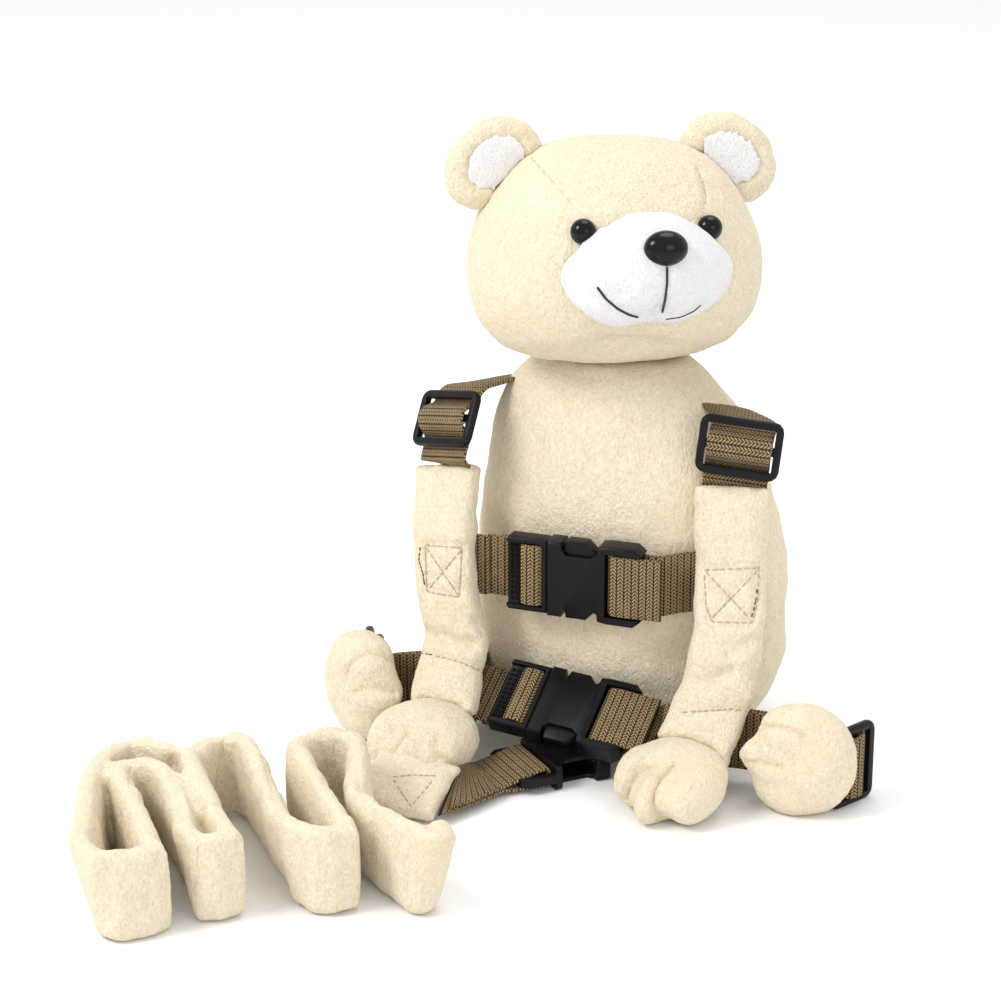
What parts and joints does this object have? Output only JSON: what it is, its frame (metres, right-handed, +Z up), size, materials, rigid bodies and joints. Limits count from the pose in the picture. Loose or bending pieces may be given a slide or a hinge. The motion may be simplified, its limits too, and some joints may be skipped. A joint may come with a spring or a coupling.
{
  "type": "toddler harness backpack",
  "caption": "Plush bear worn as a toddler's harness backpack: padded arm straps, webbing chest and waist straps with side-release buckles and sliders, and a folded padded hand tether.",
  "frame": {"origin": "the floor under the middle of the bounding box", "axes": "+Z up, -Y the way the bear's belly and straps face, +X the bear's own left side"},
  "size_m": [0.2688, 0.3038, 0.2472],
  "materials": {
    "cream_plush": "matte",
    "white_plush": "matte",
    "webbing": "matte",
    "black_plastic": "satin",
    "gloss_black": "gloss"
  },
  "bodies": {
    "root": {"torso": "cream_plush", "head": "cream_plush", "muzzle": "white_plush", "nose": "gloss_black", "eye_left": "gloss_black", "ear_left": "cream_plush", "inner_ear_left": "white_plush", "arm_left": "cream_plush", "hand_left": "cream_plush", "foot_left": "cream_plush", "shoulder_slider_left": "black_plastic", "shoulder_webbing_left": "webbing", "chest_webbing_left": "webbing", "waist_webbing_left": "webbing", "foot_slider_left": "black_plastic", "eye_right": "gloss_black", "ear_right": "cream_plush", "inner_ear_right": "white_plush", "arm_right": "cream_plush", "hand_right": "cream_plush", "foot_right": "cream_plush", "shoulder_slider_right": "black_plastic", "shoulder_webbing_right": "webbing", "chest_webbing_right": "webbing", "waist_webbing_right": "webbing", "foot_slider_right": "black_plastic", "chest_buckle_ladder": "black_plastic", "chest_buckle_housing": "black_plastic", "waist_buckle_ladder": "black_plastic", "waist_buckle_housing": "black_plastic", "tether_buckle": "black_plastic", "tether_strap": "cream_plush", "tether_end_flap": "cream_plush", "tether_webbing": "webbing"}
  },
  "joints": []
}
